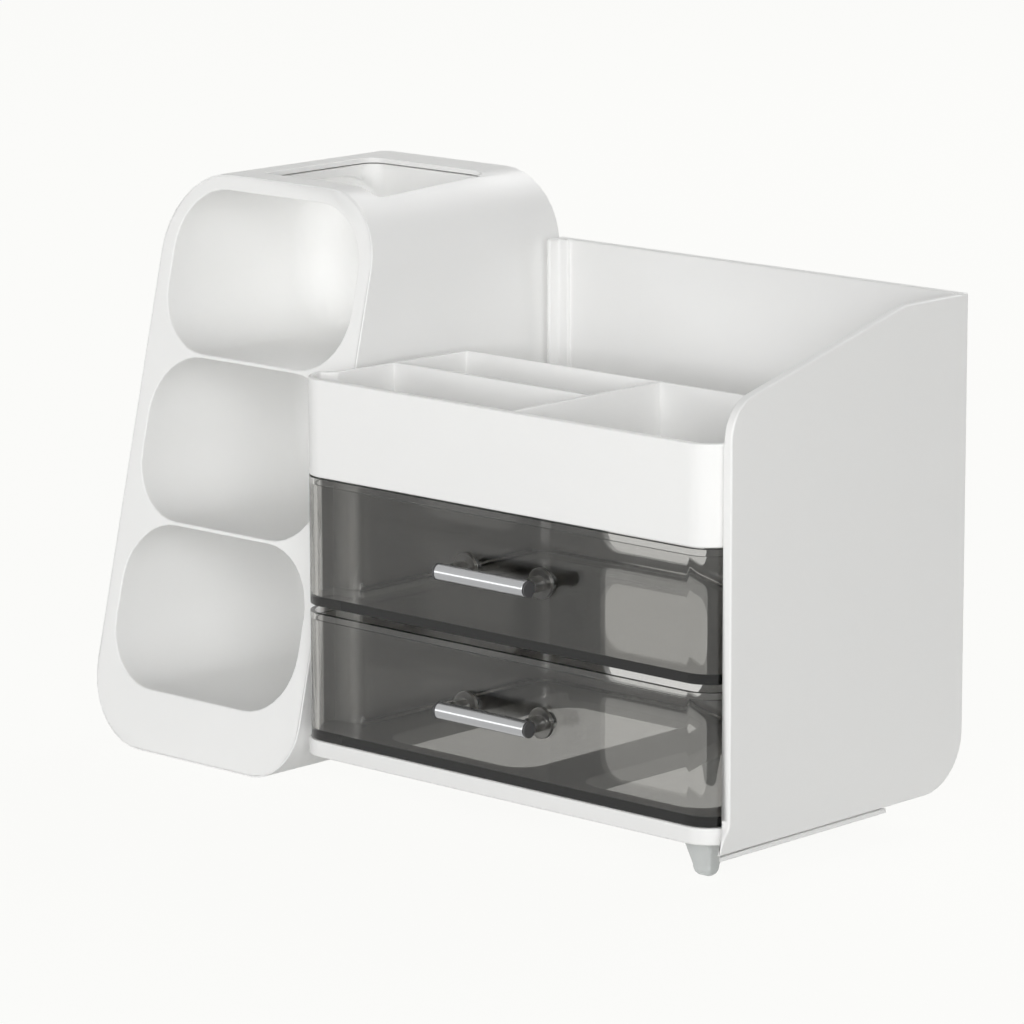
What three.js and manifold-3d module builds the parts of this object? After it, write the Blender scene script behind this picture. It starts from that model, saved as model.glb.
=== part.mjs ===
// Brush holder with two drawers: a pocket tower joined to a small cabinet.
// Millimetres, +Z up, front towards -Y. The cabinet's left outer face is x = 0,
// its front plane is y = 0, and z = 0 is the surface that it stands on.
import * as THREE from 'three';
import * as BufferGeometryUtils from 'three/addons/utils/BufferGeometryUtils.js';
import Module from 'manifold-3d';

const wasm = await Module();
wasm.setup();

// Fits
const seatGap = 0.3;
const slideGap = 0.3;
const overrun = 2;

// Cabinet moulding
const cabinetWidth = 167.7;
const cabinetDepth = 105.5;
const standHeight = 10.9;
const baseThickness = 5;
const baseCornerRadius = 9.5;
const leftWall = 2.7;
const leftWallSetback = 11;
const leftWallHeight = 98.6;
const sideWall = 2.9;
const sideSetback = 3.2;
const sideHeight = 142;
const sideShoulderHeight = 126;
const sideNose = 12;
const sideSlopeRun = 62;
const sideBelow = 1.2;
const sideToe = 4.4;
const toeEdge = 0.3;
const toeSweep = 60;
const heelRadius = 16.5;
const backWall = 2.7;
const backHeight = 142.3;
const rimRound = 1.4;
const returnFillet = 4.4;
const returnClear = 5.1;
const returnThickness = 1.5;

// Holes in the base and windows in the back
const baseHoleLeft = 25.3;
const baseHoleRight = 12.8;
const baseHoleBridge = 19.7;
const baseHoleShare = 0.542;
const baseHoleRadius = 8.2;
const baseHoleFront = 10.7;
const baseHoleBack = 14.5;
const windowWidth = 40.5;
const windowHeight = 28.5;
const windowRadius = 7;
const windowBridge = 23;
const windowLift = 3.6;

// Drawers
const drawerHeight = 37.8;
const drawerSpacing = 2.4;
const heelClearance = 0.6;
const drawerWall = 2.2;
const drawerFloor = 2.6;
const drawerFrontRadius = 10;
const drawerBackRadius = 6;
const wingWidth = 9;
const wingDepth = 16.7;
const wingRound = 2.5;
const linerWall = 2;
const rimLip = 0.8;
const rimLipHeight = 2.2;
const drawerHeadroom = 0.4;

// Runner ledges under the upper drawer
const ledgeWidth = 3.2;
const ledgeThickness = 1.7;
const ledgeFront = 8;

// Stops on the back wall
const bumperDiameter = 6;
const bumperInset = 12;

// Deck and tray
const deckThickness = 2;
const trayHeight = 28.9;
const trayFloor = 1.8;
const trayWall = 1.5;
const apronWall = 2.2;
const trayDepth = 65;
const trayLeftFront = 6.7;
const trayLeftRear = 10.4;
const dividerThickness = 1.5;
const crossDividerPlace = 87.1;
const longDividerPlace = 34.9;

// Drawer handles
const barDiameter = 4.9;
const barLength = 35.5;
const barBore = 3.7;
const capDiameter = 3.1;
const capLength = 4;
const capHead = 0.5;
const handleReach = 9;
const handleRise = 1.3;
const handlePlace = 86.7;
const postSpacing = 29;
const discDiameter = 9;
const discThickness = 1.2;
const stemDiameter = 4.6;
const screwShank = 2.2;
const screwLength = 7.2;
const screwHeadDiameter = 5.2;
const screwHeadHeight = 1.5;

// Feet and the strip under the side panel
const footWidth = 10.4;
const footDepth = 9;
const footTaper = 0.26;
const footCorner = 1;
const footTipHeight = 3;
const footTipRound = 1.5;
const footInset = 14;
const footPlaceY = 9.7;
const rearFootInset = 25.5;
const stripWidth = 4.4;
const stripLength = 71.9;
const stripLead = 0.6;
const stripBevel = 7;
const stripThickness = 1.3;

// Tower
const joinGap = 0.3;
const towerWidth = 88.8;
const towerHeight = 171.6;
const towerLead = 0.1;
const towerTail = 4.5;
const faceLean = 13.44;
const towerWall = 1.6;
const towerRadiusTopLeft = 25;
const towerRadiusTopRight = 22;
const towerRadiusBottomLeft = 24;
const towerRadiusBottomRight = 17;
const flare = 7.2;
const flareHeight = 110.9;
const faceLand = 0.5;
const facePlate = 2.2;
const coverThickness = 2.4;

// Pockets
const pocketBridge = 1.2;
const pocketSide = 5.4;
const pocketFoot = 18.3;
const pocketTop = 4.8;
const pocketRadius = 19;
const pocketWall = 1.3;
const pocketRear = 12.5;
const pocketRound = 12;

// Hole in the top of the tower
const topHoleLeft = 29.8;
const topHoleRear = 13.2;
const topHoleRadiusFront = 2;
const topHoleRadiusBack = 5;
const topHoleFront = 8.6;
const topHoleRight = 10.2;
const topHoleReach = 18;

// Dowels between tower and cabinet
const dowelDiameter = 4.4;
const dowelHead = 7;
const dowelHeadHeight = 0.9;
const dowelLift = 103.5;
const dowelFront = 40;
const dowelRear = 20.5;

// Smoothness of curves, in steps per quarter turn
const fineSteps = 9;
const coarseSteps = 5;
const roundSides = 24;
const smallSides = 16;

const lean = Math.tan(THREE.MathUtils.degToRad(faceLean));

function solidOf(geometry) {
  const bare = geometry.index ? geometry.toNonIndexed() : geometry.clone();
  for (const name of Object.keys(bare.attributes)) {
    if (name !== 'position') bare.deleteAttribute(name);
  }
  const merged = BufferGeometryUtils.mergeVertices(bare, 1e-4);
  const mesh = new wasm.Mesh({
    numProp: 3,
    vertProperties: new Float32Array(merged.attributes.position.array),
    triVerts: new Uint32Array(merged.index.array),
  });
  return new wasm.Manifold(mesh);
}

function geometryOf(solid) {
  const mesh = solid.getMesh();
  const geometry = new THREE.BufferGeometry();
  geometry.setAttribute('position', new THREE.BufferAttribute(new Float32Array(mesh.vertProperties), 3));
  geometry.setIndex(new THREE.BufferAttribute(new Uint32Array(mesh.triVerts), 1));
  geometry.computeVertexNormals();
  return geometry;
}

function shapeOf(points) {
  return new THREE.Shape(points.map((p) => new THREE.Vector2(p[0], p[1])));
}

// A flat outline raised along Z from z0 to z1.
function raise(points, z0, z1) {
  const geometry = new THREE.ExtrudeGeometry(shapeOf(points), { depth: z1 - z0, bevelEnabled: false });
  geometry.translate(0, 0, z0);
  return solidOf(geometry);
}

// A (y, z) outline drawn along X from x0 to x1.
function alongX(points, x0, x1) {
  const geometry = new THREE.ExtrudeGeometry(shapeOf(points), { depth: x1 - x0, bevelEnabled: false });
  geometry.applyMatrix4(new THREE.Matrix4().set(0, 0, 1, x0, 1, 0, 0, 0, 0, 1, 0, 0, 0, 0, 0, 1));
  return solidOf(geometry);
}

// An (x, z) outline drawn along Y from y0 to y1.
function alongY(points, y0, y1) {
  const geometry = new THREE.ExtrudeGeometry(shapeOf(points), { depth: y1 - y0, bevelEnabled: false });
  geometry.applyMatrix4(new THREE.Matrix4().set(1, 0, 0, 0, 0, 0, -1, y1, 0, 1, 0, 0, 0, 0, 0, 1));
  return solidOf(geometry);
}

function block(x0, y0, z0, x1, y1, z1) {
  const geometry = new THREE.BoxGeometry(x1 - x0, y1 - y0, z1 - z0);
  geometry.translate((x0 + x1) / 2, (y0 + y1) / 2, (z0 + z1) / 2);
  return solidOf(geometry);
}

// A round pin along X, Y or Z, from a to b, centred on the other two coordinates.
function pin(axis, a, b, u, v, diameter, sides = roundSides) {
  const geometry = new THREE.CylinderGeometry(diameter / 2, diameter / 2, b - a, sides);
  geometry.translate(0, (a + b) / 2, 0);
  if (axis === 'x') {
    geometry.applyMatrix4(new THREE.Matrix4().set(0, 1, 0, 0, 1, 0, 0, u, 0, 0, -1, v, 0, 0, 0, 1));
  } else if (axis === 'y') {
    geometry.translate(u, 0, v);
  } else {
    geometry.applyMatrix4(new THREE.Matrix4().set(1, 0, 0, u, 0, 0, -1, v, 0, 1, 0, 0, 0, 0, 0, 1));
  }
  return solidOf(geometry);
}

function arc(cx, cy, radius, from, to, steps) {
  const points = [];
  for (let i = 0; i <= steps; i += 1) {
    const angle = THREE.MathUtils.degToRad(from + ((to - from) * i) / steps);
    points.push([cx + radius * Math.cos(angle), cy + radius * Math.sin(angle)]);
  }
  return points;
}

// A rectangle with its own radius at each corner, counter-clockwise from bottom left.
function rounded(x0, y0, x1, y1, radii, steps = fineSteps) {
  const [bl, br, tr, tl] = Array.isArray(radii) ? radii : [radii, radii, radii, radii];
  return [
    ...arc(x0 + bl, y0 + bl, bl, 180, 270, steps),
    ...arc(x1 - br, y0 + br, br, 270, 360, steps),
    ...arc(x1 - tr, y1 - tr, tr, 0, 90, steps),
    ...arc(x0 + tl, y1 - tl, tl, 90, 180, steps),
  ];
}

// The same outline moved inwards by a distance, along the mean normal of each corner.
function inset(points, distance) {
  const count = points.length;
  return points.map((p, i) => {
    const a = points[(i + count - 1) % count];
    const b = points[(i + 1) % count];
    const e = new THREE.Vector2(p[0] - a[0], p[1] - a[1]).normalize();
    const f = new THREE.Vector2(b[0] - p[0], b[1] - p[1]).normalize();
    const normal = new THREE.Vector2(-(e.y + f.y), e.x + f.x).normalize();
    const miter = Math.max(-e.y * normal.x + e.x * normal.y, 1 / 2);
    return [p[0] + (normal.x * distance) / miter, p[1] + (normal.y * distance) / miter];
  });
}

// A closed skin through two or more rings with the same number of points.
// Its end caps are filled as seen along the third axis.
function loft(rings, across = 0, up = 2) {
  const count = rings[0].length;
  const positions = rings.flat().flat();
  const index = [];
  for (let r = 0; r + 1 < rings.length; r += 1) {
    for (let i = 0; i < count; i += 1) {
      const j = (i + 1) % count;
      const a = r * count + i;
      const b = r * count + j;
      index.push(a, b, b + count, a, b + count, a + count);
    }
  }
  const flat = rings[0].map((p) => new THREE.Vector2(p[across], p[up]));
  const caps = THREE.ShapeUtils.triangulateShape(flat, []);
  const last = (rings.length - 1) * count;
  for (const [a, b, c] of caps) {
    index.push(c, b, a);
    index.push(last + a, last + b, last + c);
  }
  const geometry = new THREE.BufferGeometry();
  geometry.setAttribute('position', new THREE.Float32BufferAttribute(positions, 3));
  geometry.setIndex(index);
  let solid = solidOf(geometry);
  if (solid.volume() < 0) {
    for (let i = 0; i < index.length; i += 3) [index[i], index[i + 1]] = [index[i + 1], index[i]];
    geometry.setIndex(index);
    solid = solidOf(geometry);
  }
  return solid;
}

const root = new THREE.Group();

function add(name, solid, color, roughness, metalness = 0, opacity = 1) {
  const material = new THREE.MeshStandardMaterial({
    color, roughness, metalness, opacity, transparent: opacity < 1,
  });
  const mesh = new THREE.Mesh(geometryOf(solid), material);
  mesh.name = name;
  root.add(mesh);
  return mesh;
}

const white = 0xf1f1f0;
const smoke = 0x4a4a46;
const silver = 0xdcdcdc;
const dark = 0x3c3c3c;
const clear = 0xc9ccca;

// Levels above the standing surface
const baseTop = standHeight + baseThickness;
const lowerDrawerZ = baseTop + slideGap;
const upperDrawerZ = lowerDrawerZ + drawerHeight + drawerSpacing;
const deckZ = upperDrawerZ + drawerHeight + drawerHeadroom + slideGap;
const trayZ = deckZ + deckThickness + seatGap;
const apronZ = upperDrawerZ + drawerHeight + drawerHeadroom;
const trayTop = apronZ + trayHeight;

// Inner faces of the cabinet
const bayLeft = leftWall;
const bayRight = cabinetWidth - sideWall;
const bayBack = cabinetDepth - backWall;
const drawerLeft = bayLeft + slideGap;
const drawerRight = bayRight - slideGap;
const drawerMiddle = (drawerLeft + drawerRight) / 2;

// Behind the front's left wing the drawers are narrower, beside a double wall of the cabinet.
const tubLeft = drawerLeft + wingWidth;
const linerRight = tubLeft - slideGap;
const linerFront = wingDepth + slideGap;

// The heel is a bent sheet. The lower drawer ends where its floor would meet the bend.
const heelOuter = heelRadius - sideBelow;
const heelInner = Math.max(heelOuter - backWall, rimRound);
const heelDrop = Math.max(standHeight + backWall + heelInner - lowerDrawerZ, 0);
const drawerDepth = bayBack - heelInner + Math.sqrt(heelInner ** 2 - heelDrop ** 2) - heelClearance;

// Side panel: a rounded heel, a sloped top edge and a nose over the front edge.
function sideOutline(grow) {
  const front = sideSetback - grow;
  const low = standHeight - sideBelow - grow;
  const back = cabinetDepth + grow;
  const top = sideHeight + standHeight + grow;
  const radius = heelRadius + grow;
  const nose = sideNose + grow;
  const shoulder = sideShoulderHeight + standHeight + grow;
  const slopeEnd = front + nose + sideSlopeRun;
  const slopeAngle = THREE.MathUtils.radToDeg(Math.atan2(top - shoulder, sideSlopeRun));
  const noseCurve = arc(front + nose, shoulder - nose, nose, 180, 90 + slopeAngle, fineSteps);
  return [
    [front - sideToe, low],
    ...arc(back - radius, low + radius, radius, 270, 360, fineSteps),
    ...arc(back - rimRound, top - rimRound, rimRound, 0, 90, coarseSteps),
    [slopeEnd, top],
    ...noseCurve.reverse(),
    ...arc(front - sideToe, low + 2 * sideToe, sideToe, 0, -toeSweep, coarseSteps),
  ];
}

function bayWindows() {
  const span = 2 * windowWidth + windowBridge;
  const solids = [];
  for (const drawerZ of [lowerDrawerZ, upperDrawerZ]) {
    for (const side of [0, 1]) {
      const x0 = drawerMiddle - span / 2 + side * (windowWidth + windowBridge);
      const z0 = drawerZ + windowLift;
      const outline = rounded(x0, z0, x0 + windowWidth, z0 + windowHeight, windowRadius, coarseSteps);
      solids.push(alongY(outline, bayBack - overrun, cabinetDepth + overrun));
    }
  }
  return solids;
}

// Two holes in the base with a bridge between them, the left one the wider.
const holesLeft = bayLeft + baseHoleLeft;
const holesRight = bayRight - baseHoleRight;
const bridgeLeft = holesLeft + (holesRight - holesLeft - baseHoleBridge) * baseHoleShare;

function baseHoles() {
  const back = cabinetDepth - baseHoleBack;
  return [[holesLeft, bridgeLeft], [bridgeLeft + baseHoleBridge, holesRight]]
    .map(([x0, x1]) => rounded(x0, baseHoleFront, x1, back, baseHoleRadius))
    .map((outline) => raise(outline, standHeight - overrun, baseTop + overrun));
}

const dowelPlaces = [dowelFront, cabinetDepth - dowelRear];

function dowelHoles(solid) {
  let result = solid;
  const from = -joinGap - towerWall - overrun;
  for (const y of dowelPlaces) {
    result = result.subtract(pin('x', from, leftWall + overrun, y, dowelLift, dowelDiameter + 2 * seatGap));
  }
  return result;
}

function cabinetShell() {
  // The heel wraps the back wall and the base into one bent sheet.
  const low = standHeight;
  const heel = heelOuter;
  const heelOutline = [
    [leftWallSetback, low],
    ...arc(cabinetDepth - heel, low + heel, heel, 270, 360, fineSteps),
    [cabinetDepth, backHeight + standHeight],
    [bayBack, backHeight + standHeight],
    ...arc(bayBack - heelInner, low + backWall + heelInner, heelInner, 0, -90, fineSteps),
    [leftWallSetback, low + backWall],
  ];
  const body = alongX(heelOutline, 0, cabinetWidth);
  const baseEnd = cabinetDepth - heelRadius;
  const baseOutline = rounded(bayLeft - slideGap, 0, bayRight - slideGap, baseEnd,
    [baseCornerRadius, baseCornerRadius, rimRound, rimRound]);
  let solid = body.add(raise(baseOutline, standHeight, baseTop));
  // Inside, the toe of the side panel is bevelled to a thin edge.
  const toeFront = sideSetback - sideToe;
  const toeBevel = raise([
    [bayRight - overrun, toeFront - overrun],
    [cabinetWidth - toeEdge, toeFront - overrun],
    [cabinetWidth - toeEdge, toeFront],
    [bayRight, sideSetback],
    [bayRight - overrun, sideSetback],
  ], 0, baseTop + sideHeight);
  solid = solid.add(alongX(sideOutline(0), bayRight, cabinetWidth).subtract(toeBevel));
  solid = solid.add(block(bayRight - rimRound, baseCornerRadius, standHeight, bayRight + rimRound, baseEnd, baseTop));
  solid = solid.add(block(0, leftWallSetback, standHeight, leftWall, cabinetDepth - heel, leftWallHeight));
  solid = solid.add(block(0, cabinetDepth - heel - overrun, standHeight + heel, leftWall, cabinetDepth, leftWallHeight));
  // A second sheet beside the drawers, with a return at its front, makes the left wall double.
  const linerTop = deckZ - seatGap;
  const linerCorners = [rimRound, wingRound - slideGap, rimRound, rimRound];
  const linerOutline = rounded(leftWall - rimRound, linerFront, linerRight, bayBack + rimRound, linerCorners, coarseSteps);
  const heelRoom = [
    [0, low],
    ...arc(cabinetDepth - heel, low + heel, heel, 270, 360, fineSteps),
    [cabinetDepth, linerTop],
    [0, linerTop],
  ];
  solid = solid.add(raise(linerOutline, low + backWall, linerTop)
    .subtract(block(0, linerFront + linerWall, low, linerRight - linerWall, cabinetDepth, linerTop + overrun))
    .intersect(alongX(heelRoom, 0, linerRight + overrun)));
  // Above the left wall the back stops short of the tower and returns forwards with a fillet.
  const clearX = -joinGap + flare + returnClear;
  solid = solid.subtract(block(-overrun, bayBack - overrun, leftWallHeight,
    clearX, cabinetDepth + overrun, backHeight + standHeight + overrun));
  const returnOutline = [
    [clearX, bayBack],
    [clearX, bayBack - returnFillet],
    ...arc(clearX + returnThickness + returnFillet, bayBack - returnFillet, returnFillet, 180, 90, coarseSteps),
  ];
  solid = solid.add(raise(returnOutline.reverse(), leftWallHeight + seatGap, backHeight + standHeight)
    .add(block(clearX, bayBack - rimRound, leftWallHeight + seatGap,
      clearX + returnThickness + returnFillet, bayBack + rimRound, backHeight + standHeight)));
  for (const hole of bayWindows()) solid = solid.subtract(hole);
  for (const hole of baseHoles()) solid = solid.subtract(hole);
  return dowelHoles(solid);
}

add('cabinet_shell', cabinetShell(), white, 0.35);

// The front of the tray follows the drawers' rounded front.
const apronDepth = drawerFrontRadius;

function apronOutline() {
  return rounded(drawerLeft, 0, drawerRight, apronDepth + drawerFrontRadius + overrun, drawerFrontRadius);
}

// Deck: a shelf over the drawers that carries the tray.
function deck() {
  const nose = inset(apronOutline(), apronWall + seatGap);
  return raise(nose, deckZ, deckZ + deckThickness)
    .add(block(drawerLeft, apronDepth + seatGap, deckZ, drawerRight, bayBack - seatGap, deckZ + deckThickness));
}

add('deck', deck(), white, 0.4);

// Tray: the apron closes the front, and its rim walls and dividers make three cells.
function trayOutline() {
  const r = drawerFrontRadius;
  return [
    ...arc(drawerLeft + r, r, r, 180, 270, fineSteps),
    ...arc(drawerRight - r, r, r, 270, 360, fineSteps),
    [drawerRight, trayDepth],
    [trayLeftRear, trayDepth],
    [trayLeftFront, r + (trayLeftFront - drawerLeft)],
  ];
}

function tray() {
  const outline = trayOutline();
  const wallRing = inset(outline, trayWall);
  let solid = raise(outline, trayZ, trayTop);
  // The apron hangs below the tray floor, in front of the deck.
  const apron = raise(apronOutline(), apronZ, trayZ + trayFloor)
    .subtract(raise(inset(apronOutline(), apronWall), apronZ - overrun, trayZ + trayFloor + overrun))
    .intersect(block(drawerLeft - overrun, -overrun, apronZ - overrun,
      drawerRight + overrun, apronDepth, trayTop));
  const hollow = raise(wallRing, trayZ + trayFloor, trayTop + overrun);
  const thickFront = block(drawerLeft - overrun, -overrun, trayZ, drawerRight + overrun, apronWall, trayTop);
  const crossWall = block(crossDividerPlace, 0, trayZ, crossDividerPlace + dividerThickness, trayDepth, trayTop);
  const longWall = block(trayLeftFront, longDividerPlace, trayZ,
    crossDividerPlace + dividerThickness, longDividerPlace + dividerThickness, trayTop);
  solid = solid.subtract(hollow.subtract(thickFront).subtract(crossWall).subtract(longWall));
  return solid.add(apron);
}

add('tray', tray(), white, 0.35);

// Drawers: open tubs with a lip round the rim. The front is wider than the tub behind it.
function drawerOutline() {
  const front = drawerFrontRadius;
  const back = drawerBackRadius;
  return [
    ...arc(drawerLeft + front, front, front, 180, 270, fineSteps),
    ...arc(drawerRight - front, front, front, 270, 360, fineSteps),
    ...arc(drawerRight - back, drawerDepth - back, back, 0, 90, fineSteps),
    ...arc(tubLeft + back, drawerDepth - back, back, 90, 180, fineSteps),
    ...arc(tubLeft - wingRound, wingDepth + wingRound, wingRound, 0, -90, coarseSteps),
    ...arc(drawerLeft + wingRound, wingDepth - wingRound, wingRound, 90, 180, coarseSteps),
  ];
}

function drawer(z) {
  const outline = drawerOutline();
  const lipRing = inset(outline, drawerWall - rimLip);
  const hollow = raise(inset(outline, drawerWall), z + drawerFloor, z + drawerHeight + overrun);
  const lip = raise(lipRing, z + drawerHeight - rimLipHeight, z + drawerHeight + overrun);
  let solid = raise(outline, z, z + drawerHeight).subtract(hollow).subtract(lip);
  for (const x of postPlaces()) {
    solid = solid.subtract(pin('y', -overrun, drawerWall + overrun, x, handleZ(z), screwShank + 2 * seatGap));
  }
  return solid;
}

function postPlaces() {
  return [handlePlace - postSpacing / 2, handlePlace + postSpacing / 2];
}

function handleZ(z) {
  return z + drawerHeight / 2 + handleRise;
}

function handleBar(z) {
  const x0 = handlePlace - barLength / 2 + capHead + seatGap;
  const x1 = handlePlace + barLength / 2 - capHead - seatGap;
  const depth = capLength - capHead;
  return pin('x', x0, x1, -handleReach, handleZ(z), barDiameter)
    .subtract(pin('x', x0 - overrun, x0 + depth, -handleReach, handleZ(z), barBore))
    .subtract(pin('x', x1 - depth, x1 + overrun, -handleReach, handleZ(z), barBore));
}

function handleCap(z, side) {
  const way = side ? -1 : 1;
  const end = handlePlace - way * barLength / 2;
  const span = (from, to) => [end + way * from, end + way * to].sort((a, b) => a - b);
  return pin('x', ...span(0, capHead), -handleReach, handleZ(z), barDiameter)
    .add(pin('x', ...span(capHead / 2, capLength), -handleReach, handleZ(z), capDiameter, smallSides));
}

function handlePost(z, side) {
  const x = postPlaces()[side];
  const tip = -handleReach + barDiameter / 2 + seatGap;
  const bore = drawerWall + seatGap - screwLength;
  return pin('y', -seatGap - discThickness, -seatGap, x, handleZ(z), discDiameter)
    .add(pin('y', tip, -seatGap - discThickness / 2, x, handleZ(z), stemDiameter, smallSides))
    .subtract(pin('y', bore - seatGap, overrun, x, handleZ(z), screwShank + 2 * seatGap, smallSides));
}

function handleScrew(z, side) {
  const x = postPlaces()[side];
  const seat = drawerWall + seatGap;
  return pin('y', seat, seat + screwHeadHeight, x, handleZ(z), screwHeadDiameter, smallSides)
    .add(pin('y', seat - screwLength, seat + screwHeadHeight / 2, x, handleZ(z), screwShank, smallSides));
}

function bumper(z, side) {
  const x = side ? drawerRight - bumperInset : tubLeft + bumperInset;
  return pin('y', drawerDepth + slideGap, bayBack - seatGap, x, z + drawerHeight / 2, bumperDiameter, smallSides);
}

for (const [level, z] of [['lower', lowerDrawerZ], ['upper', upperDrawerZ]]) {
  add('drawer_' + level, drawer(z), smoke, 0.08, 0, 0.55);
  add('handle_bar_' + level, handleBar(z), silver, 0.3, 1);
  for (const [side, hand] of [[0, 'left'], [1, 'right']]) {
    add('handle_cap_' + level + '_' + hand, handleCap(z, side), dark, 0.5);
    add('handle_post_' + level + '_' + hand, handlePost(z, side), clear, 0.1, 0, 0.5);
    add('handle_screw_' + level + '_' + hand, handleScrew(z, side), silver, 0.3, 1);
    add('bumper_' + level + '_' + hand, bumper(z, side), clear, 0.6);
  }
}

// Ledges for the upper drawer, one on each wall.
function ledge(x0, x1, lead) {
  const top = upperDrawerZ - slideGap;
  return block(x0, lead, top - ledgeThickness, x1, bayBack - seatGap - heelRadius / 2, top);
}

add('ledge_left', ledge(linerRight + seatGap, linerRight + seatGap + ledgeWidth, linerFront), white, 0.4);
add('ledge_right', ledge(bayRight - seatGap - ledgeWidth, bayRight - seatGap, ledgeFront), white, 0.4);

// Feet: tapered blocks with a rounded tip.
function foot(x, y) {
  const top = standHeight - seatGap;
  const ring = (shrink, z) => {
    const halfWidth = footWidth / 2 - shrink;
    const halfDepth = footDepth / 2 - shrink;
    return rounded(x - halfWidth, y - halfDepth, x + halfWidth, y + halfDepth, footCorner, coarseSteps)
      .map(([u, v]) => [u, v, z]);
  };
  const waist = (top - footTipHeight) * footTaper;
  const rings = [ring(0, top)];
  for (let i = 0; i <= coarseSteps; i += 1) {
    const angle = (Math.PI / 2) * (i / coarseSteps);
    rings.push(ring(waist + footTipRound * (1 - Math.cos(angle)), footTipHeight * (1 - Math.sin(angle))));
  }
  return loft(rings, 0, 1);
}

add('foot_front', foot(cabinetWidth - footInset, footPlaceY), clear, 0.2, 0, 0.6);
add('foot_rear', foot(bridgeLeft + baseHoleBridge / 2, cabinetDepth - rearFootInset), clear, 0.2, 0, 0.6);

function underStrip() {
  const top = standHeight - sideBelow - seatGap;
  const end = stripLength - stripLead;
  return raise([
    [cabinetWidth - toeEdge, -stripLead],
    [cabinetWidth, -stripLead],
    [cabinetWidth, end],
    [cabinetWidth - stripWidth, end],
    [cabinetWidth - stripWidth, stripBevel - stripLead],
  ], top - stripThickness, top);
}

add('under_strip', underStrip(), white, 0.5);

// Tower: one rounded section, cut by the leaning face, drawn back and flared to the right higher up.
const towerRight = -joinGap;
const towerLeft = towerRight - towerWidth;
const towerBack = cabinetDepth + towerTail;

function faceY(z) {
  return -towerLead + z * lean;
}

function section(shrink, grow) {
  return rounded(towerLeft + shrink, shrink, towerRight - shrink + grow, towerHeight - shrink, [
    towerRadiusBottomLeft - shrink, towerRadiusBottomRight - shrink,
    towerRadiusTopRight - shrink, towerRadiusTopLeft - shrink,
  ]);
}

// A ring on the leaning face, moved back by a distance, or on an upright plane.
function ringOnFace(points, back) {
  return points.map(([x, z]) => [x, faceY(z) + back, z]);
}

function ringAt(points, y) {
  return points.map(([x, z]) => [x, y, z]);
}

function towerBody(shrink, back, end) {
  const front = ringOnFace(section(shrink, 0), back);
  const straight = loft([front, ringAt(section(shrink, 0), end)]);
  const reach = flare * ((end + towerLead) / (towerBack + towerLead));
  const flared = loft([front, ringAt(section(shrink, end < towerBack ? reach : flare), end)]);
  const above = block(towerLeft - overrun, -towerLead - overrun, flareHeight + shrink,
    towerRight + flare + overrun, end + overrun, towerHeight + overrun);
  return straight.add(flared.intersect(above));
}

function topHole(grow, z0) {
  const x0 = towerLeft + topHoleLeft - grow;
  const x1 = towerRight - topHoleRight + grow;
  const y0 = faceY(towerHeight) + topHoleFront - grow;
  const y1 = towerBack - topHoleRear + grow;
  const front = topHoleRadiusFront + grow;
  const back = topHoleRadiusBack + grow;
  const outline = rounded(x0, y0, x1, y1, [front, front, back, back]);
  return raise(outline, z0, towerHeight + overrun);
}

function towerShell() {
  // The wall thins to a narrow land at the face, so that the face plate drops in flush.
  const mouth = loft([ringOnFace(section(faceLand, 0), -overrun * lean),
    ringOnFace(section(towerWall, 0), facePlate + overrun)]);
  let solid = towerBody(0, 0, towerBack)
    .subtract(towerBody(towerWall, facePlate, towerBack + overrun))
    .subtract(mouth)
    .subtract(topHole(0, towerHeight / 2));
  return dowelHoles(solid);
}

add('tower_shell', towerShell(), white, 0.35);

const pocketX0 = towerLeft + pocketSide;
const pocketWidth = towerWidth - 2 * pocketSide;
const pocketHeight = (towerHeight - pocketTop - pocketFoot - 2 * pocketBridge) / 3;
const pocketBack = towerBack - pocketRear;

function pocketRing(index, grow) {
  const z0 = pocketFoot + index * (pocketHeight + pocketBridge);
  return rounded(pocketX0 - grow, z0 - grow, pocketX0 + pocketWidth + grow, z0 + pocketHeight + grow,
    pocketRadius + grow);
}

// One pocket runs level from the leaning face and rounds over into its back wall.
function pocket(index, grow, lead) {
  const ring = pocketRing(index, grow);
  const rings = [ringOnFace(ring, lead)];
  const end = pocketBack + grow;
  const round = pocketRound + grow;
  for (let i = 0; i <= coarseSteps; i += 1) {
    const angle = (Math.PI / 2) * (i / coarseSteps);
    rings.push(ringAt(inset(ring, round * (1 - Math.cos(angle))), end - round + round * Math.sin(angle)));
  }
  return loft(rings);
}

function towerCore() {
  const shrink = towerWall + seatGap;
  const plate = loft([ringOnFace(section(faceLand + seatGap, 0), 0), ringOnFace(section(shrink, 0), facePlate)]);
  let solid = plate;
  for (const i of [0, 1, 2]) solid = solid.add(pocket(i, pocketWall, facePlate / 2));
  // A collar carries the top pocket up to the hole in the sleeve.
  const collarFoot = towerHeight - topHoleReach;
  solid = solid.add(topHole(pocketWall, collarFoot).intersect(towerBody(shrink, facePlate / 2, towerBack)));
  for (const i of [0, 1, 2]) solid = solid.subtract(pocket(i, 0, -overrun));
  return solid.subtract(topHole(0, collarFoot + overrun));
}

add('tower_core', towerCore(), white, 0.3);

// Cover inside the open back of the sleeve.
function towerCover() {
  const inside = towerBody(towerWall + seatGap, facePlate, towerBack + overrun);
  return inside.intersect(block(towerLeft - overrun, towerBack - coverThickness, -overrun,
    towerRight + flare + overrun, towerBack, towerHeight + overrun));
}

add('tower_back', towerCover(), white, 0.5);

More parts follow.
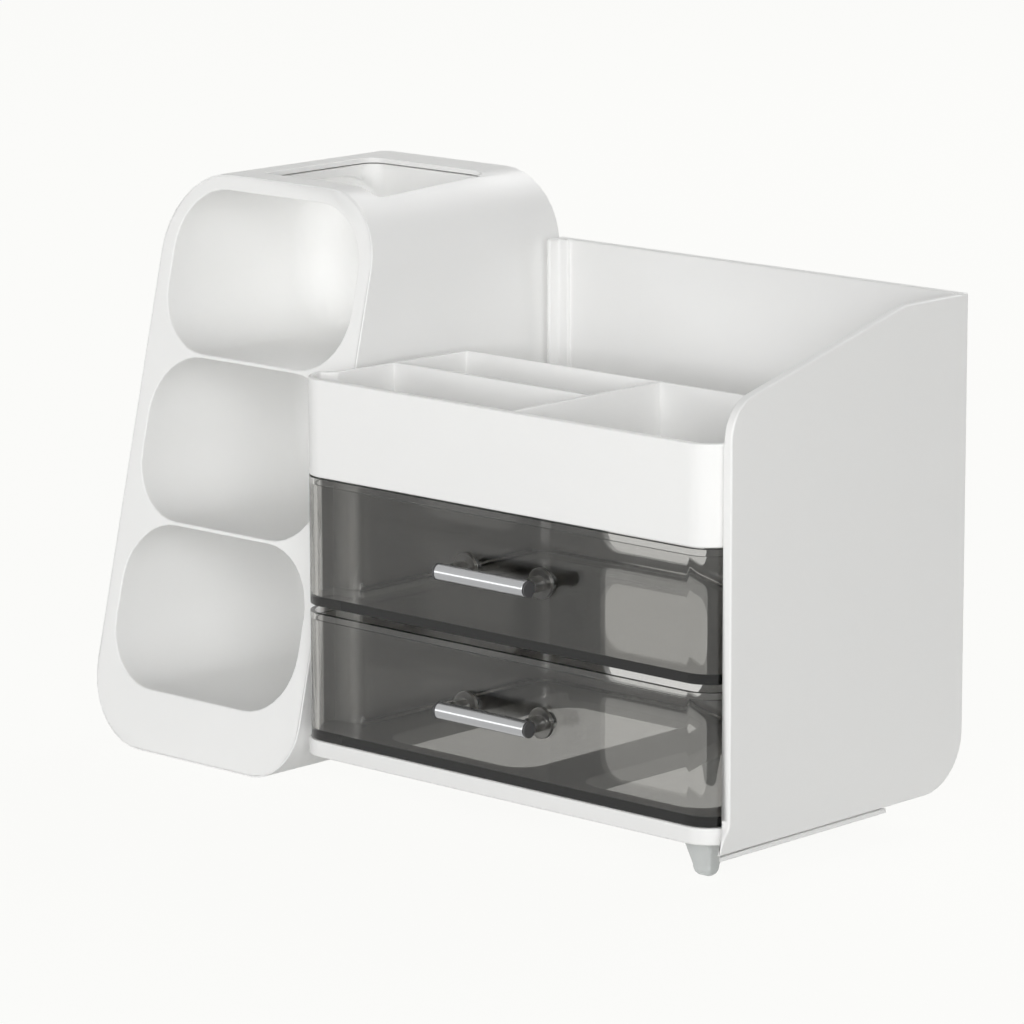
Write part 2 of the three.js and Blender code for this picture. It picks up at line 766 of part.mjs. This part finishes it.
// Dowels pin the sleeve to the left wall of the cabinet.
function dowel(y) {
  const headEnd = towerRight - towerWall - seatGap;
  return pin('x', headEnd - dowelHeadHeight, headEnd, y, dowelLift, dowelHead, smallSides)
    .add(pin('x', headEnd - dowelHeadHeight / 2, leftWall - seatGap, y, dowelLift, dowelDiameter, smallSides));
}

add('joint_dowel_front', dowel(dowelPlaces[0]), clear, 0.5);
add('joint_dowel_rear', dowel(dowelPlaces[1]), clear, 0.5);

// The origin sits under the middle of the whole.
const front = -handleReach - barDiameter / 2;
root.position.set(-(towerLeft + cabinetWidth) / 2, -(front + towerBack) / 2, 0);
root.updateMatrixWorld(true);

export default root;
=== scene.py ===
# %% [markdown]
# # A brush holder with two smoked drawers
# The object is a few white mouldings and two see-through tubs. A sleeve with a leaning face
# holds three round-cornered brush pockets. Next to it stands a low cabinet: a base, a back and
# a tall side panel, with a tray over two drawers of smoked plastic. This script gives the
# measured solids their real surfaces: softened edges, smoked walls that darken with their
# thickness, satin metal bars and the pale studio round them.

# %% Open the measured solids
import math

import bmesh
import bpy
from mathutils import Matrix, Vector
from mathutils.bvhtree import BVHTree
from mathutils.geometry import convex_hull_2d


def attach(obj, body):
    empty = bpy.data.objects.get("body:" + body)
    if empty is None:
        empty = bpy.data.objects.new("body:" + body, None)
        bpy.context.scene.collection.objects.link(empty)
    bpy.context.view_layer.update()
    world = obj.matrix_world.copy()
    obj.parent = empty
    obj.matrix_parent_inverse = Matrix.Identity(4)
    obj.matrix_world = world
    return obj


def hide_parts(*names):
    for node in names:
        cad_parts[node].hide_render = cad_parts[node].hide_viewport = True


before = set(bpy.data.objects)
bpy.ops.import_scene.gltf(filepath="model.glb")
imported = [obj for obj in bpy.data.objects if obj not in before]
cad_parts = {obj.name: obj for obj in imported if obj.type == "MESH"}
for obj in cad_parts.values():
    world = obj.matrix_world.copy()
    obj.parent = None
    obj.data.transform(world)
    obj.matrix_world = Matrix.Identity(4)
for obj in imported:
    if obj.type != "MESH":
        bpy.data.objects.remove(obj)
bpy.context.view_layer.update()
mm = 0.001

# %% [markdown]
# ## The camera
# The photograph was taken from the right front, a little above the top tray, with a long lens.
# The place and the angles come from fitting the object's straight edges to the picture.
# A camera's own axes are right, up and back, so its matrix is built from these three.

# %% Place the camera
camera_place = Vector((1.0726, -1.1454, 0.4049))
camera_azimuth = math.radians(43.0086)
camera_elevation = math.radians(11.6751)
camera_roll = math.radians(-0.1331)

camera_data = bpy.data.cameras.new("Photograph_camera")
camera_data.sensor_width = 36
camera_data.lens = 191.94
camera_data.clip_start = 0.1
camera_data.clip_end = 20
camera = bpy.data.objects.new("Photograph_camera", camera_data)
bpy.context.scene.collection.objects.link(camera)
turn = (
    Matrix.Rotation(camera_azimuth, 4, "Z")
    @ Matrix.Rotation(math.pi / 2 - camera_elevation, 4, "X")
    @ Matrix.Rotation(camera_roll, 4, "Z")
)
camera.matrix_world = Matrix.Translation(camera_place) @ turn
bpy.context.scene.camera = camera
bpy.context.scene.view_settings.view_transform = "Standard"
print("camera looks along", [round(v, 3) for v in turn @ Vector((0, 0, -1))])

# %% [markdown]
# ## Colours and nodes
# Colours are written as the hex values that a picture editor shows, which are sRGB. The shader
# works in linear light, so one function turns them. A second one adds a node, sets its sockets
# and links what feeds it, so that each material below reads as a short list. A third starts an
# empty material.


# %% Three small helpers
def linear(hex_colour):
    """An opaque sRGB hex colour as the linear values of a shader, by the standard's curve."""
    values = [int(hex_colour[i : i + 2], 16) / 255 for i in (1, 3, 5)]
    return [v / 12.92 if v <= 0.04045 else ((v + 0.055) / 1.055) ** 2.4 for v in values] + [1.0]


def add_node(tree, kind, inputs=None, **settings):
    """A new node with its settings. An input is a plain value, or an output socket to link."""
    node = tree.nodes.new(kind)
    for key, value in settings.items():
        setattr(node, key, value)
    for key, value in (inputs or {}).items():
        if isinstance(value, bpy.types.NodeSocket):
            tree.links.new(value, node.inputs[key])
        else:
            node.inputs[key].default_value = value
    return node


def new_material(name):
    """An empty node material with its output."""
    material = bpy.data.materials.new(name)
    material.use_nodes = True
    material.node_tree.nodes.clear()
    return material, material.node_tree, material.node_tree.nodes.new("ShaderNodeOutputMaterial")


print("mid grey in linear light:", [round(v, 3) for v in linear("#808080")])

# %% [markdown]
# ## White moulded ABS
# The cabinet, the tray and the tower are injection-moulded ABS in a warm neutral white. The
# moulds are polished to a fine satin, so the surface reflects softly. Under a raking light it
# shows the faint unevenness of cooling plastic, a few hundredths of a millimetre in waves of
# about 26 mm, and a very fine grain. Both are in the bump, and the roughness wanders a little
# with the waves. A real grain is finer than the picture can show, so it is drawn 0.4 mm wide.
# The pocket insert comes from a mould with a more matt finish, so one function makes both.
# Its white is also a shade purer than the sleeve's. This is painted light that lifts the shade in the
# pockets.

# %% Materials of the white mouldings
cooling_waves_per_metre = 38.0
satin_grains_per_metre = 2600.0


def moulded_abs(name, hex_colour, smoothest, roughest):
    """White moulded ABS. Its roughness wanders between two values with the cooling waves."""
    material, tree, output = new_material(name)
    place = add_node(tree, "ShaderNodeTexCoord").outputs["Object"]
    cooling_waves = add_node(
        tree, "ShaderNodeTexNoise", {"Vector": place, "Scale": cooling_waves_per_metre, "Detail": 1.0}
    )
    mould_grain = add_node(
        tree, "ShaderNodeTexNoise", {"Vector": place, "Scale": satin_grains_per_metre, "Detail": 2.0}
    )
    sheen_drift = add_node(
        tree,
        "ShaderNodeMapRange",
        {
            "Value": cooling_waves.outputs["Fac"],
            "From Min": 0.3,
            "From Max": 0.7,
            "To Min": smoothest,
            "To Max": roughest,
        },
    )
    wave_bump = add_node(
        tree,
        "ShaderNodeBump",
        {"Height": cooling_waves.outputs["Fac"], "Strength": 0.06, "Distance": 0.6 * mm},
    )
    grain_bump = add_node(
        tree,
        "ShaderNodeBump",
        {
            "Height": mould_grain.outputs["Fac"],
            "Strength": 0.05,
            "Distance": 0.03 * mm,
            "Normal": wave_bump.outputs["Normal"],
        },
    )
    surface = add_node(
        tree,
        "ShaderNodeBsdfPrincipled",
        {
            "Base Color": linear(hex_colour),
            "Roughness": sheen_drift.outputs["Result"],
            "IOR": 1.52,
            "Subsurface Weight": 0.06,
            "Subsurface Radius": (1.0, 0.95, 0.9),
            "Subsurface Scale": 1.2 * mm,
            "Normal": grain_bump.outputs["Normal"],
        },
    )
    tree.links.new(surface.outputs["BSDF"], output.inputs["Surface"])
    return material


white_abs = moulded_abs("ABS_moulded_satin_white", "#FAFAF9", smoothest=0.36, roughest=0.42)
# The insert's purer white is painted light: it brightens the shade inside its pockets.
matt_abs_brightened = moulded_abs("ABS_moulded_soft_matt_white_brightened", "#FEFEFD", smoothest=0.50, roughest=0.56)
print("white mouldings:", white_abs.name, matt_abs_brightened.name)

# %% [markdown]
# ## Smoked clear polystyrene
# The drawers are moulded from clear polystyrene with a grey-brown dye. The surface is polished,
# so the colour isn't on it but in it: light fades with the length that it runs through the
# plastic. One wall of about two millimetres lets seven tenths of it pass, a front and a back wall
# half, and the edge of the floor, seen along the sheet, is almost black. So the surface is clear,
# and the dye is a volume. The pull bars' stand-offs are turned from a deeper dyed rod. The tool
# leaves them dull, so their surface scatters what passes.


# %% Materials of the drawers and the stand-offs
def smoked_polystyrene(name, roughness, density):
    """Clear polystyrene with a grey-brown dye. Density is what the dye takes per metre."""
    material, tree, output = new_material(name)
    surface = add_node(
        tree,
        "ShaderNodeBsdfPrincipled",
        {"Base Color": linear("#FFFFFF"), "Roughness": roughness, "IOR": 1.49, "Transmission Weight": 1.0},
    )
    dye = add_node(tree, "ShaderNodeVolumeAbsorption", {"Color": linear("#5A523A"), "Density": density})
    tree.links.new(surface.outputs["BSDF"], output.inputs["Surface"])
    tree.links.new(dye.outputs["Volume"], output.inputs["Volume"])
    return material


smoked_ps = smoked_polystyrene("Polystyrene_moulded_clear_smoked", roughness=0.02, density=174.0)
ground_ps = smoked_polystyrene("Polystyrene_turned_smoked", roughness=0.28, density=420.0)
print("smoked plastics:", smoked_ps.name, ground_ps.name)

# %% [markdown]
# ## Satin anodised aluminium
# The pull bars are cut from drawn tube. The draw leaves fine lines along the bar, and the
# anodising dulls them to a satin silver. So the metal is a light grey, and its bump is a noise
# that is fifty times finer across the bar than along it. Real lines are finer than a pixel, so
# they are drawn 0.3 mm wide and 17 mm long.

# %% Material of the pull bars
lines_per_metre_along = 60.0
lines_per_metre_across = 3000.0

satin_aluminium, tree, output = new_material("Aluminium_drawn_satin_anodised")
place = add_node(tree, "ShaderNodeTexCoord")
drawn = add_node(
    tree,
    "ShaderNodeMapping",
    {
        "Vector": place.outputs["Object"],
        "Scale": (lines_per_metre_along, lines_per_metre_across, lines_per_metre_across),
    },
)
draw_lines = add_node(
    tree, "ShaderNodeTexNoise", {"Vector": drawn.outputs["Vector"], "Scale": 1.0, "Detail": 2.0}
)
line_bump = add_node(
    tree, "ShaderNodeBump", {"Height": draw_lines.outputs["Fac"], "Strength": 0.15, "Distance": 0.02 * mm}
)
surface = add_node(
    tree,
    "ShaderNodeBsdfPrincipled",
    {
        "Base Color": linear("#AEAFB1"),
        "Metallic": 1.0,
        "Roughness": 0.24,
        "Normal": line_bump.outputs["Normal"],
    },
)
tree.links.new(surface.outputs["BSDF"], output.inputs["Surface"])
print("metal of the bars:", satin_aluminium.name)

# %% [markdown]
# ## The small plastics and the screws
# The plugs in the bar's ends are dark grey polypropylene with a matt mould grain. The feet and
# the hidden dowels are natural polypropylene, which is milky. The soft PVC of the buffers has
# clouds of about 1 mm, and the screws are zinc-plated steel. Each gets the roughness of how it
# was made. The grains, 0.25 and 0.6 mm wide, and the zinc's crystals, 0.5 mm, are drawn coarser
# than real ones, so that they show.


# %% Materials of the small mouldings
def mould_grain_bump(tree, grains_per_metre, strength, depth):
    """The fine grain that a mould leaves, as a bump. Depth is in metres."""
    place = add_node(tree, "ShaderNodeTexCoord")
    grain = add_node(
        tree,
        "ShaderNodeTexNoise",
        {"Vector": place.outputs["Object"], "Scale": grains_per_metre, "Detail": 1.0},
    )
    return add_node(
        tree, "ShaderNodeBump", {"Height": grain.outputs["Fac"], "Strength": strength, "Distance": depth}
    )


dark_pp, tree, output = new_material("Polypropylene_moulded_dark_grey")
bump = mould_grain_bump(tree, grains_per_metre=4000.0, strength=0.3, depth=0.04 * mm)
surface = add_node(
    tree,
    "ShaderNodeBsdfPrincipled",
    {"Base Color": linear("#4A4A4B"), "Roughness": 0.5, "IOR": 1.49, "Normal": bump.outputs["Normal"]},
)
tree.links.new(surface.outputs["BSDF"], output.inputs["Surface"])

milky_pp, tree, output = new_material("Polypropylene_moulded_milky")
bump = mould_grain_bump(tree, grains_per_metre=1800.0, strength=0.1, depth=0.03 * mm)
surface = add_node(
    tree,
    "ShaderNodeBsdfPrincipled",
    {
        "Base Color": linear("#E2E5E4"),
        "Roughness": 0.22,
        "IOR": 1.49,
        "Transmission Weight": 0.25,
        "Normal": bump.outputs["Normal"],
    },
)
tree.links.new(surface.outputs["BSDF"], output.inputs["Surface"])
print("small mouldings:", dark_pp.name, milky_pp.name)

# %% Materials of the buffers and the screws
clouds_per_metre = 900.0
crystals_per_metre = 2200.0

soft_pvc, tree, output = new_material("PVC_soft_moulded_milky")
place = add_node(tree, "ShaderNodeTexCoord")
cloud = add_node(
    tree, "ShaderNodeTexNoise", {"Vector": place.outputs["Object"], "Scale": clouds_per_metre}
)
haze = add_node(tree, "ShaderNodeMapRange", {"Value": cloud.outputs["Fac"], "To Min": 0.3, "To Max": 0.45})
surface = add_node(
    tree,
    "ShaderNodeBsdfPrincipled",
    {
        "Base Color": linear("#E2E3E2"),
        "Roughness": haze.outputs["Result"],
        "IOR": 1.5,
        "Transmission Weight": 0.5,
    },
)
tree.links.new(surface.outputs["BSDF"], output.inputs["Surface"])

zinc_steel, tree, output = new_material("Steel_turned_zinc_plated")
place = add_node(tree, "ShaderNodeTexCoord")
spangle = add_node(
    tree, "ShaderNodeTexVoronoi", {"Vector": place.outputs["Object"], "Scale": crystals_per_metre}
)
polish = add_node(
    tree, "ShaderNodeMapRange", {"Value": spangle.outputs["Distance"], "To Min": 0.22, "To Max": 0.34}
)
surface = add_node(
    tree,
    "ShaderNodeBsdfPrincipled",
    {"Base Color": linear("#C9CBCD"), "Metallic": 1.0, "Roughness": polish.outputs["Result"]},
)
tree.links.new(surface.outputs["BSDF"], output.inputs["Surface"])
print("buffers and screws:", soft_pvc.name, zinc_steel.name)

# %% [markdown]
# ## Soft edges on the mouldings
# A moulded edge is never sharp. Its small radius catches the light as the thin bright line that
# runs round every rim. The measured solids are faceted and sharp, so each gets a copy: its
# triangles are merged to flat faces, and a bevel rounds what is left at a real radius.
# A bevel needs room beside the edge. The modifier's own limit takes the width that the shortest
# edge allows for the whole piece, so it is off, and two checks of this script take its place: one
# leaves an edge sharp where no radius fits, and one puts corners that flew off back on the solid.
# The drawers keep the modifier's limit, because a see-through wall shows every crossing face. It
# leaves them a radius of about 0.05 mm.

# %% Keep the rounding where it fits
least_sine = 1e-6
stray_share = 0.45


def keep_room(shape, weight, radius):
    """No radius where the edge beside it is too short, or too much in line with it, to hold one."""
    crowded = True
    while crowded:
        crowded = []
        for edge in shape.edges:
            if edge[weight] == 0.0:
                continue
            for loop in edge.link_loops:
                for beside in (loop.link_loop_next.edge, loop.link_loop_prev.edge):
                    if beside[weight] > 0.0:
                        continue
                    here = (set(edge.verts) & set(beside.verts)).pop()
                    along = edge.other_vert(here).co - here.co
                    aside = beside.other_vert(here).co - here.co
                    reach = radius / max(math.sin(along.angle(aside)), least_sine)
                    if reach > aside.length:
                        crowded.append(edge)
        for edge in crowded:
            edge[weight] = 0.0


def settle(piece, radius):
    """The rounded mesh for good. Corners that two close radii threw off go back to the solid."""
    measured = bmesh.new()
    measured.from_mesh(piece.data)
    surface = BVHTree.FromBMesh(measured)
    lowest = [min(vert.co[axis] for vert in measured.verts) for axis in range(3)]
    highest = [max(vert.co[axis] for vert in measured.verts) for axis in range(3)]
    measured.free()
    depsgraph = bpy.context.evaluated_depsgraph_get()
    rounded = bpy.data.meshes.new_from_object(
        piece.evaluated_get(depsgraph), preserve_all_data_layers=True, depsgraph=depsgraph
    )
    for vert in rounded.vertices:
        place, _, _, distance = surface.find_nearest(vert.co)
        if distance > stray_share * radius:
            vert.co = place
        for axis in range(3):
            vert.co[axis] = min(max(vert.co[axis], lowest[axis]), highest[axis])
    piece.modifiers.clear()
    rounded.name = piece.data.name
    piece.data = rounded


print("a rounded corner strays from the solid by less than", stray_share, "of the radius")

# %% Copy a solid with rounded edges
same_place = 0.002 * mm
flat_angle = math.radians(0.4)
shortest_edge = 0.08 * mm
sharp_angle = math.radians(32)
rounding_steps = 3


def flat_faced(node):
    """The measured solid of a node, its triangles merged to flat faces."""
    shape = bmesh.new()
    shape.from_mesh(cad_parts[node].data)
    bmesh.ops.remove_doubles(shape, verts=shape.verts, dist=same_place)
    bmesh.ops.dissolve_limit(
        shape,
        angle_limit=flat_angle,
        verts=shape.verts,
        edges=shape.edges,
        use_dissolve_boundaries=False,
    )
    return shape


def add_rounding(piece, radius, clamp):
    """The modifiers that round the weighted edges and keep the flat faces' shading flat."""
    bevel = piece.modifiers.new("edge_radius", "BEVEL")
    bevel.width = radius
    bevel.segments = rounding_steps
    bevel.limit_method = "WEIGHT"
    bevel.use_clamp_overlap = clamp
    bevel.harden_normals = True
    bevel.miter_outer = "MITER_ARC"
    flat = piece.modifiers.new("flat_faces_stay_flat", "WEIGHTED_NORMAL")
    flat.keep_sharp = True
    flat.weight = 80


def soften(node, name, body, material, radius, fillet=None, seam=None, clamp=False):
    """A copy of a measured solid with rounded edges, which stands for it. Radius is in metres."""
    shape = flat_faced(node)
    if fillet:
        fillet(shape)
    bmesh.ops.remove_doubles(shape, verts=shape.verts, dist=shortest_edge)
    weight = shape.edges.layers.float.new("bevel_weight_edge")
    for edge in shape.edges:
        sharp = len(edge.link_faces) == 2 and edge.calc_face_angle(0.0) > sharp_angle
        edge[weight] = 1.0 if sharp else 0.0
    if seam:
        seam(shape, weight)
    keep_room(shape, weight, radius)
    for face in shape.faces:
        face.smooth = True
    mesh = bpy.data.meshes.new(name)
    shape.to_mesh(mesh)
    shape.free()
    mesh.materials.append(material)
    piece = bpy.data.objects.new(name, mesh)
    bpy.context.scene.collection.objects.link(piece)
    add_rounding(piece, radius, clamp)
    settle(piece, radius)
    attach(piece, body)
    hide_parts(node)


print("edges over", round(math.degrees(sharp_angle)), "degrees get", rounding_steps, "steps of rounding")

# %% [markdown]
# ## The joint line round the tower's face
# The face plate drops into the sleeve, whose lip runs round it. On the real tower the two meet
# so closely that no line shows. The measured solids keep a working gap of 0.3 mm there, so the
# plate's rim is let out by almost that much, and neither side of the joint gets a rounded edge.
# The rim is found as what lies near the convex hull of all corners on the leaning face.


# %% Find the outline of the leaning face
face_lean = math.radians(13.44)
face_foot = -49.375 * mm
face_slack = 0.03 * mm
nudge = 0.01 * mm


def face_outline(shape):
    """The corners of the leaning face with their places in it, and the hull round them."""
    on_face = {}
    for vert in shape.verts:
        if abs(vert.co.y - face_foot - vert.co.z * math.tan(face_lean)) < face_slack:
            on_face[vert] = Vector((vert.co.x, vert.co.z / math.cos(face_lean)))
    corners = list(on_face.values())
    hull = [corners[i] for i in convex_hull_2d(corners)]
    if (hull[1] - hull[0]).cross(hull[2] - hull[1]) < 0:
        hull.reverse()
    return on_face, hull


def nearest_side(place, hull):
    """How far inside the hull a place lies, and the outward direction of the nearest side."""
    best = None
    for start, end in zip(hull, hull[1:] + hull[:1]):
        along = (end - start).normalized()
        outward = Vector((along.y, -along.x))
        depth = (start - place).dot(outward)
        if best is None or depth < best[0]:
            best = (depth, outward)
    return best


def outward_way(place, hull):
    """The direction that leads out of the hull: the mean of what four places round this one say."""
    total = Vector((0, 0))
    for step in ((nudge, 0), (-nudge, 0), (0, nudge), (0, -nudge)):
        total += nearest_side(place + Vector(step), hull)[1]
    return total.normalized()


print("the face leans by", round(math.degrees(face_lean), 2), "degrees")

# %% Close the joint round the face plate
rim_growth = 0.28 * mm
rim_depth = 0.2 * mm
lip_line = 0.1 * mm
lip_inside = 0.3 * mm
lip_share = 0.5


def let_out_rim(shape, weight):
    """The plate's rim, let out to the sleeve's lip and with a sharp edge."""
    on_face, hull = face_outline(shape)
    rim = {}
    for vert, place in on_face.items():
        if nearest_side(place, hull)[0] < rim_depth:
            rim[vert] = outward_way(place, hull)
    for edge in shape.edges:
        if edge.verts[0] in rim and edge.verts[1] in rim:
            edge[weight] = 0.0
    for vert, outward in rim.items():
        lift = outward.y * math.cos(face_lean)
        vert.co += rim_growth * Vector((outward.x, lift * math.tan(face_lean), lift))
    print("corners of the plate's rim:", len(rim))


def sharpen_lip(shape, weight):
    """The sleeve's lip, sharp on its inner edge, fully rounded on its outer one alone."""
    on_face, hull = face_outline(shape)
    depths = {vert: nearest_side(place, hull)[0] for vert, place in on_face.items()}
    for edge in shape.edges:
        ends = [depths.get(vert, -1) for vert in edge.verts]
        if min(ends) > lip_inside:
            edge[weight] = 0.0
        elif not all(0 <= end < lip_line for end in ends):
            edge[weight] *= lip_share
    print("corners of the sleeve's lip:", len(depths))


print("the plate's rim grows by mm:", round(rim_growth / mm, 2))

# %% Round the white mouldings and the feet
panel_edge = 0.6 * mm
rim_edge = 0.5 * mm
lip_edge = 0.4 * mm
rib_edge = 0.3 * mm
foot_edge = 0.25 * mm
pin_edge = 0.2 * mm

soften("cabinet_shell", "Cabinet_moulding", "cabinet", white_abs, panel_edge)
soften("deck", "Deck_shelf", "cabinet", white_abs, rib_edge)
soften("tray", "Top_tray", "cabinet", white_abs, rim_edge)
soften("tower_shell", "Tower_sleeve", "cabinet", white_abs, lip_edge, seam=sharpen_lip)
soften("tower_core", "Pocket_insert", "cabinet", matt_abs_brightened, rim_edge, seam=let_out_rim)
soften("tower_back", "Tower_back_cover", "cabinet", white_abs, lip_edge)
soften("under_strip", "Strip_under_side", "cabinet", white_abs, rib_edge)
soften("ledge_left", "Runner_ledge_left", "cabinet", white_abs, rib_edge)
soften("ledge_right", "Runner_ledge_right", "cabinet", white_abs, rib_edge)
for end in ("front", "rear"):
    soften("foot_" + end, "Foot_" + end, "cabinet", milky_pp, foot_edge)
    soften("joint_dowel_" + end, "Dowel_" + end, "cabinet", milky_pp, pin_edge)

# %% [markdown]
# ## The fillet inside the drawers
# Seen through the front, each drawer's floor meets its walls in two thin dark lines a few
# millimetres apart. They are the two ends of a fillet, which every such moulding has so that it
# leaves the mould and doesn't crack. The front wall has none, because the edge seen there is thin.
# The corner where floor and wall meet inside is found by its height, and rounded behind the wing.

# %% Fill the corner round a drawer's floor
floor_tops = {"lower": 18.8 * mm, "upper": 59.0 * mm}
floor_slack = 0.05 * mm
floor_fillet = 3.0 * mm
fillet_steps = 4
wall_angle = math.radians(60)
wing_back = -33.0 * mm


def fill_floor_corner(floor_top):
    """What rounds the inner corner at the floor's height, in metres, of one drawer."""

    def fillet(shape):
        corner = []
        for edge in shape.edges:
            level = all(abs(vert.co.z - floor_top) < floor_slack for vert in edge.verts)
            behind = (edge.verts[0].co.y + edge.verts[1].co.y) / 2 > wing_back
            if level and behind and edge.calc_face_angle(0.0) > wall_angle:
                corner.append(edge)
        bmesh.ops.bevel(
            shape,
            geom=corner,
            offset=floor_fillet,
            offset_type="OFFSET",
            affect="EDGES",
            segments=fillet_steps,
            profile=0.5,
            material=-1,
            clamp_overlap=False,
        )
        print("edges of the floor's corner:", len(corner))

    return fillet


print("radius inside the drawers in mm:", round(floor_fillet / mm, 1))

# %% Round the drawers and their handles
tub_edge = 0.4 * mm
bar_edge = 0.25 * mm
plug_edge = 0.15 * mm
buffer_edge = 0.3 * mm

for storey in ("lower", "upper"):
    body = storey + "_drawer"
    soften(
        "drawer_" + storey,
        "Drawer_tub_" + storey,
        body,
        smoked_ps,
        tub_edge,
        fillet=fill_floor_corner(floor_tops[storey]),
        clamp=True,
    )
    soften("handle_bar_" + storey, "Pull_bar_" + storey, body, satin_aluminium, bar_edge)
    for hand in ("left", "right"):
        tail = storey + "_" + hand
        soften("handle_cap_" + tail, "Bar_plug_" + tail, body, dark_pp, plug_edge)
        soften("handle_post_" + tail, "Stand_off_" + tail, body, ground_ps, pin_edge)
        soften("handle_screw_" + tail, "Screw_" + tail, body, zinc_steel, pin_edge)
        soften("bumper_" + tail, "Buffer_" + tail, "cabinet", soft_pvc, buffer_edge)

# %% [markdown]
# ## The studio
# The object stands on a floor that the picture shows as almost pure white. Its material is a
# pale diffuse surface that keeps a trace of the contact shadow, mixed with a glow for what the
# camera, the metal and the smoked plastic see of it. The air glows for them in the same way and
# is dim for everything else, so the white background adds little light to the object.

# %% Floor and what it shows
floor_half_width = 3.0
glow_share = 0.95

floor_mesh = bpy.data.meshes.new("Studio_floor")
shape = bmesh.new()
bmesh.ops.create_grid(shape, x_segments=1, y_segments=1, size=floor_half_width)
shape.to_mesh(floor_mesh)
shape.free()
floor = bpy.data.objects.new("Studio_floor", floor_mesh)
bpy.context.scene.collection.objects.link(floor)


def seen_directly(tree):
    """1 for the camera and for what shows in metal or through clear plastic, 0 for diffuse light."""
    path = add_node(tree, "ShaderNodeLightPath")
    glass_or_metal = add_node(
        tree,
        "ShaderNodeMath",
        {0: path.outputs["Is Glossy Ray"], 1: path.outputs["Is Transmission Ray"]},
        operation="MAXIMUM",
    )
    return add_node(
        tree,
        "ShaderNodeMath",
        {0: path.outputs["Is Camera Ray"], 1: glass_or_metal.outputs["Value"]},
        operation="MAXIMUM",
    )


floor_paint, tree, output = new_material("Studio_floor_matt_white")
seen = seen_directly(tree)
paint = add_node(tree, "ShaderNodeBsdfDiffuse", {"Color": linear("#EEEEEC")})
glow = add_node(tree, "ShaderNodeEmission", {"Color": linear("#FEFEFC"), "Strength": 1.0})
share = add_node(tree, "ShaderNodeMath", {0: seen.outputs["Value"], 1: glow_share}, operation="MULTIPLY")
mixed = add_node(
    tree,
    "ShaderNodeMixShader",
    {0: share.outputs["Value"], 1: paint.outputs["BSDF"], 2: glow.outputs["Emission"]},
)
tree.links.new(mixed.outputs["Shader"], output.inputs["Surface"])
floor_mesh.materials.append(floor_paint)
print("floor:", floor.name, "of", floor_paint.name)

# %% The air round the object
air_light = 0.16
air_seen = 1.0

world = bpy.data.worlds.new("Studio_air")
bpy.context.scene.world = world
world.use_nodes = True
tree = world.node_tree
tree.nodes.clear()
seen = seen_directly(tree)
level_of_air = add_node(
    tree, "ShaderNodeMapRange", {"Value": seen.outputs["Value"], "To Min": air_light, "To Max": air_seen}
)
air = add_node(
    tree, "ShaderNodeBackground", {"Color": linear("#FEFEFC"), "Strength": level_of_air.outputs["Result"]}
)
add_node(tree, "ShaderNodeOutputWorld", {"Surface": air.outputs["Background"]})
print("air:", world.name)

# %% [markdown]
# ## The light
# Four soft boxes light the object. The key stands behind the camera and higher than it. A wide
# one nearer the front makes the front the brightest side and leaves the right side a shade darker.
# A weak, low one at the left opens the pockets, and a high one behind lights the tops, the tray's
# floor and the rear.


# %% Soft light panels
def light_panel(name, place, aim, width, height, power):
    """A soft box: an area light at place, turned towards aim. Metres and watts."""
    data = bpy.data.lights.new(name, "AREA")
    data.shape = "RECTANGLE"
    data.size = width
    data.size_y = height
    data.energy = power
    panel = bpy.data.objects.new(name, data)
    bpy.context.scene.collection.objects.link(panel)
    panel.location = place
    panel.rotation_mode = "QUATERNION"
    panel.rotation_quaternion = (Vector(aim) - Vector(place)).to_track_quat("-Z", "Y")
    return panel


middle = (0.0, 0.0, 0.09)
light_panel("Key_panel", (1.515, -1.625, 0.685), middle, width=1.4, height=1.0, power=26)
light_panel("Left_fill", (-1.13, -1.13, 0.2), middle, width=1.2, height=0.3, power=3)
light_panel("Front_panel", (0.74, -2.04, 0.3), middle, width=1.4, height=0.6, power=7.5)
light_panel("Back_panel", (-0.3, 1.74, 1.57), middle, width=1.4, height=1.0, power=20)
